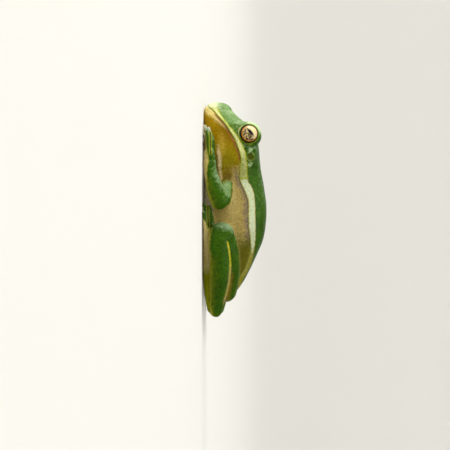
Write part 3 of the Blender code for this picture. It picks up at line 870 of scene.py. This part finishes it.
def eyeMaterial():
    # a wet cornea over a gold iris: the clear coat gives the hard glint, and the iris under
    # it is dull, flecked and veined
    material, tree, shader = newMaterial("wetFrogEye")
    plane = addNode(tree, "Attribute", attribute_name="irisPlace").outputs["Vector"]
    split = addNode(tree, "SeparateXYZ", {0: plane})
    along, across = split.outputs[0], split.outputs[1]
    radius = addNode(tree, "VectorMath", {0: plane}, operation="LENGTH").outputs["Value"]

    def calc(operation, *values):
        return maths(tree, operation, *values)

    def step(*values):
        return eased(tree, *values)

    def over(factor, below, name):
        return mixed(tree, factor, below, linear(eyeColours[name]))

    def ellipse(middle, length, width):
        x = calc("DIVIDE", calc("SUBTRACT", along, middle), length)
        y = calc("DIVIDE", calc("SUBTRACT", across, eye["pupilRise"]), width)
        return calc("ADD", calc("MULTIPLY", x, x), calc("MULTIPLY", y, y))

    flecks = noise(tree, plane, 4.0, 4.0, 0.6)
    veins = noise(tree, plane, 9.0, 3.0, 0.6)
    patches = noise(tree, plane, 1.7, 3.0, 0.65)
    light, dark = eyeColours["iris"]
    colour = mixed(tree, flecks, linear(light), linear(dark))
    below = calc("MULTIPLY_ADD", across, -0.5, patches)
    colour = over(step(below, 0.4, 0.9), colour, "lowerIris")
    mottled = calc("MULTIPLY", step(patches, 0.46, 0.5), step(across, 0.15, -0.2))
    colour = over(calc("MULTIPLY", mottled, 0.92), colour, "mottles")
    colour = over(calc("MULTIPLY", step(veins, 0.58, 0.7), 0.5), colour, "veins")
    edge = eye["irisRadius"]
    ring = step(radius, edge - 0.34, edge - 0.2)
    ring = calc("MULTIPLY", ring, step(across, 0.9, 0.1, 0.4, 0.95))
    colour = over(ring, colour, "ring")
    colour = over(step(radius, edge - 0.12, edge - 0.04), colour, "rim")
    pupil = calc("MINIMUM", ellipse(*eye["pupil"]), ellipse(*eye["pupilPoint"]))
    colour = over(step(pupil, 1.5, 2.1, 0.7, 0.0), colour, "pupilEdge")
    colour = over(step(pupil, 0.8, 1.15, 1.0, 0.0), colour, "pupil")

    bump = addNode(
        tree, "Bump", {"Strength": 0.25, "Distance": 0.04 * mm, "Height": flecks}
    ).outputs[0]
    tree.links.new(colour, shader.inputs["Base Color"])
    tree.links.new(bump, shader.inputs["Normal"])
    shader.inputs["Roughness"].default_value = 0.5
    shader.inputs["Specular IOR Level"].default_value = 0.1
    shader.inputs["Coat IOR"].default_value = 1.376
    shader.inputs["Coat Weight"].default_value = 0.45
    shader.inputs["Coat Roughness"].default_value = 0.02
    return material


def makeEye(name, sign, material):
    bm = bmesh.new()
    bmesh.ops.create_uvsphere(
        bm, u_segments=eye["segments"], v_segments=eye["rings"], radius=eyeRadius * mm
    )
    for vert in bm.verts:  # the cornea stands a little proud round the pole that looks out
        lift = ramp(vert.co.z / mm, eyeRadius * 0.45, eyeRadius)
        vert.co += vert.co.normalized() * float(lift) * eye["bulge"] * mm
    gaze = Vector(eyePlace["irisGaze"]).normalized()
    pitch = math.radians(eyePlace["pupilPitch"])
    length = Vector((0, math.cos(pitch), math.sin(pitch)))
    length = (length - gaze * length.dot(gaze)).normalized()
    width = gaze.cross(length)
    turn = Matrix((length, width, gaze)).transposed().to_4x4()
    local = [(v.co.x / mm, v.co.y / mm, 0.0) for v in bm.verts]
    bmesh.ops.transform(bm, matrix=Matrix.Translation(eyeMiddle) @ turn, verts=bm.verts)
    if sign < 0:
        bmesh.ops.scale(bm, vec=(-1, 1, 1), verts=bm.verts)
        bmesh.ops.reverse_faces(bm, faces=bm.faces)
    piece = pieceFrom(bm, name)
    places = piece.data.attributes.new("irisPlace", "FLOAT_VECTOR", "POINT")
    places.data.foreach_set("vector", np.array(local, np.float32).ravel())
    piece.data.shade_smooth()
    piece.data.materials.append(material)
    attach(piece, "root")
    return piece


# The studio

studio = {
    "floorColour": "#D9D7D0",
    "flatRadius": 0.64,  # level this far out, then it sweeps up
    "steepness": 0.22,
    "outerRadius": 2.8,
    "rings": 30,
    "steps": 96,
    "world": "#F2F4F7",
    "worldStrength": 0.2,
}
# the place and size of each light in metres, and its power in watts
softboxes = {
    "lowSoftbox": ((0.03, -0.63, 0.08), 0.14, 3.0),
    "frontSoftbox": ((0.5, -2.2, 1.2), 2.0, 85.0),
    "sideSoftbox": ((2.6, 0.6, 1.9), 3.6, 80.0),
    "topSoftbox": ((0.2, 0.2, 2.8), 2.2, 30.0),
}


def makeFloor():
    # a pale round floor whose rim sweeps up, so that no horizon shows
    bm = bmesh.new()
    flat, outer = studio["flatRadius"], studio["outerRadius"]
    outline = [Vector((0, 0, 0)), Vector((flat / 2, 0, 0))]
    for r in np.linspace(flat, outer, studio["rings"]):
        outline.append(Vector((r, 0, studio["steepness"] * (r - flat) ** 3)))
    verts = [bm.verts.new(p) for p in outline]
    edges = [bm.edges.new(pair) for pair in zip(verts, verts[1:])]
    bmesh.ops.spin(
        bm, geom=verts + edges, cent=(0, 0, 0), axis=(0, 0, 1), angle=2 * math.pi,
        steps=studio["steps"], use_merge=True,
    )
    bmesh.ops.remove_doubles(bm, verts=bm.verts, dist=0.0001)
    bmesh.ops.recalc_face_normals(bm, faces=bm.faces)
    floor = pieceFrom(bm, "studioFloor")
    floor.data.shade_smooth()
    material, _, shader = newMaterial("mattPaintedBoard")  # matt paint: no glare
    shader.inputs["Base Color"].default_value = linear(studio["floorColour"])
    shader.inputs["Roughness"].default_value = 0.9
    floor.data.materials.append(material)


def makeLight(name, place, size, power, target):
    lamp = bpy.data.lights.new(name, "AREA")
    lamp.shape = "DISK"
    lamp.size = size
    lamp.energy = power
    light = bpy.data.objects.new(name, lamp)
    bpy.context.scene.collection.objects.link(light)
    light.location = place
    light.rotation_mode = "QUATERNION"
    light.rotation_quaternion = (target - Vector(place)).to_track_quat("-Z", "Y")
    light.visible_camera = False


def makeLights():
    middle = at(0, 25, 6)
    for name, (place, size, power) in softboxes.items():
        makeLight(name, place, size, power, middle)
    world = bpy.data.worlds.new("studioWorld")
    world.use_nodes = True
    sky = world.node_tree.nodes["Background"]
    sky.inputs["Color"].default_value = linear(studio["world"])
    sky.inputs["Strength"].default_value = studio["worldStrength"]
    bpy.context.scene.world = world


def makeCamera():
    data = bpy.data.cameras.new("camera")
    data.sensor_width = camera["sensor"]
    data.lens = camera["sensor"] * camera["distance"] / camera["across"]
    data.clip_start = 0.05
    data.clip_end = 20
    made = bpy.data.objects.new("camera", data)
    bpy.context.scene.collection.objects.link(made)
    tilt = math.radians(camera["elevation"])
    towards = Vector((math.cos(tilt), 0, math.sin(tilt)))
    right = Vector((-math.sin(tilt), 0, math.cos(tilt)))
    up = Vector((0, -1, 0))
    middle = at(*camera["middle"])
    place = middle + towards * camera["distance"] * mm
    turn = Matrix((right, up, towards)).transposed().to_4x4()
    made.matrix_world = Matrix.Translation(place) @ turn
    bpy.context.scene.camera = made


makeCamera()
makeFloor()
makeLights()
bpy.context.scene.view_settings.view_transform = "Standard"
print("studio ready")

makeSkin()
irisAndCornea = eyeMaterial()
for name, sign in (("eye_left", 1), ("eye_right", -1)):
    ball = makeEye(name.replace("_l", "L").replace("_r", "R") + "Ball", sign, irisAndCornea)
    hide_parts(name)
print("eyes ready")
